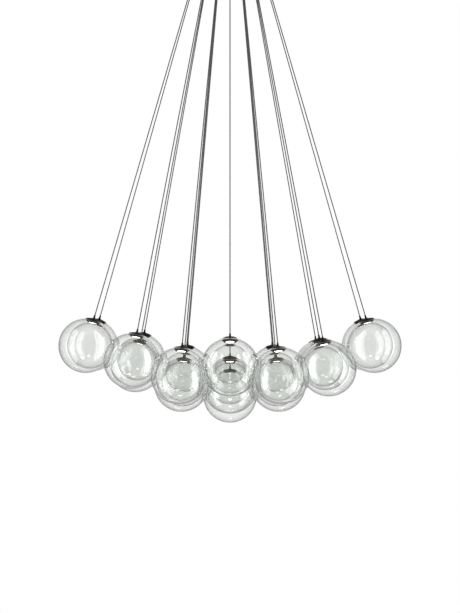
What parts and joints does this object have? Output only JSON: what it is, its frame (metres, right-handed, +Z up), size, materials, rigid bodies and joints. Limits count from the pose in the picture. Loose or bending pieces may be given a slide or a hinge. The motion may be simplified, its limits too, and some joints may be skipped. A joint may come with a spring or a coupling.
{
  "type": "cluster pendant light",
  "caption": "Cluster pendant light: a close bunch of clear glass globes on fanned taut cords, each with a dark conical cap and a small lamp, under one round canopy.",
  "frame": {"origin": "centre of the ceiling plate's top face, on the ceiling", "axes": "+Z up, +X to the right as seen from the front, +Y away to the back"},
  "size_m": [0.9386, 0.754, 1.3004],
  "materials": {
    "clear_glass": "clear blown glass, polished",
    "dark_metal": "dark bronze-black, satin, turned grooves",
    "dark_paint": "dark bronze-black satin coat",
    "frosted_lens": "frosted white lens on a white module",
    "grey_cord": "grey satin jacket",
    "zinc_steel": "zinc plated",
    "driver_case": "fine matt moulding",
    "white_plastic": "satin moulding",
    "black_rubber": "matt black"
  },
  "bodies": {
    "canopy": {"ceiling_plate": "zinc_steel", "canopy_pan": "dark_paint", "swivel_seats": "dark_metal", "seat_nuts": "zinc_steel", "canopy_screws": "dark_metal", "led_driver": "driver_case", "inner_screws": "zinc_steel", "terminal_block": "white_plastic", "inlet_bush": "black_rubber"},
    "row_1": {"glass_globe_01": "clear_glass", "glass_globe_02": "clear_glass", "caps_row_1": "dark_metal", "led_modules_row_1": "frosted_lens", "swivel_balls_row_1": "dark_metal", "cords_row_1": "grey_cord"},
    "row_2": {"glass_globe_03": "clear_glass", "glass_globe_04": "clear_glass", "glass_globe_05": "clear_glass", "caps_row_2": "dark_metal", "led_modules_row_2": "frosted_lens", "swivel_balls_row_2": "dark_metal", "cords_row_2": "grey_cord"},
    "row_3": {"glass_globe_06": "clear_glass", "glass_globe_07": "clear_glass", "glass_globe_08": "clear_glass", "glass_globe_09": "clear_glass", "caps_row_3": "dark_metal", "led_modules_row_3": "frosted_lens", "swivel_balls_row_3": "dark_metal", "cords_row_3": "grey_cord"},
    "row_4": {"glass_globe_10": "clear_glass", "glass_globe_11": "clear_glass", "glass_globe_12": "clear_glass", "glass_globe_13": "clear_glass", "glass_globe_14": "clear_glass", "caps_row_4": "dark_metal", "led_modules_row_4": "frosted_lens", "swivel_balls_row_4": "dark_metal", "cords_row_4": "grey_cord"},
    "row_5": {"glass_globe_15": "clear_glass", "glass_globe_16": "clear_glass", "glass_globe_17": "clear_glass", "glass_globe_18": "clear_glass", "caps_row_5": "dark_metal", "led_modules_row_5": "frosted_lens", "swivel_balls_row_5": "dark_metal", "cords_row_5": "grey_cord"},
    "row_6": {"glass_globe_19": "clear_glass", "glass_globe_20": "clear_glass", "glass_globe_21": "clear_glass", "caps_row_6": "dark_metal", "led_modules_row_6": "frosted_lens", "swivel_balls_row_6": "dark_metal", "cords_row_6": "grey_cord"},
    "row_7": {"glass_globe_22": "clear_glass", "glass_globe_23": "clear_glass", "caps_row_7": "dark_metal", "led_modules_row_7": "frosted_lens", "swivel_balls_row_7": "dark_metal", "cords_row_7": "grey_cord"}
  },
  "joints": [
    {"name": "sway_row_1", "type": "hinge", "parent": "canopy", "child": "row_1", "pos_m": [-0.10132, 0, -0.0574], "axis": [0, 1, 0], "range_deg": [-5, 5]},
    {"name": "sway_row_2", "type": "hinge", "parent": "canopy", "child": "row_2", "pos_m": [-0.06755, 0, -0.0574], "axis": [0, 1, 0], "range_deg": [-5, 5]},
    {"name": "sway_row_3", "type": "hinge", "parent": "canopy", "child": "row_3", "pos_m": [-0.03377, 0, -0.0574], "axis": [0, 1, 0], "range_deg": [-5, 5]},
    {"name": "sway_row_4", "type": "hinge", "parent": "canopy", "child": "row_4", "pos_m": [0, 0, -0.0574], "axis": [0, 1, 0], "range_deg": [-5, 5]},
    {"name": "sway_row_5", "type": "hinge", "parent": "canopy", "child": "row_5", "pos_m": [0.03377, 0, -0.0574], "axis": [0, 1, 0], "range_deg": [-5, 5]},
    {"name": "sway_row_6", "type": "hinge", "parent": "canopy", "child": "row_6", "pos_m": [0.06755, 0, -0.0574], "axis": [0, 1, 0], "range_deg": [-5, 5]},
    {"name": "sway_row_7", "type": "hinge", "parent": "canopy", "child": "row_7", "pos_m": [0.10132, 0, -0.0574], "axis": [0, 1, 0], "range_deg": [-5, 5]}
  ],
  "couplings": [
    {"joint": "sway_row_1", "follows": "sway_row_4", "ratio": 1},
    {"joint": "sway_row_2", "follows": "sway_row_4", "ratio": 1},
    {"joint": "sway_row_3", "follows": "sway_row_4", "ratio": 1},
    {"joint": "sway_row_5", "follows": "sway_row_4", "ratio": 1},
    {"joint": "sway_row_6", "follows": "sway_row_4", "ratio": 1},
    {"joint": "sway_row_7", "follows": "sway_row_4", "ratio": 1}
  ]
}
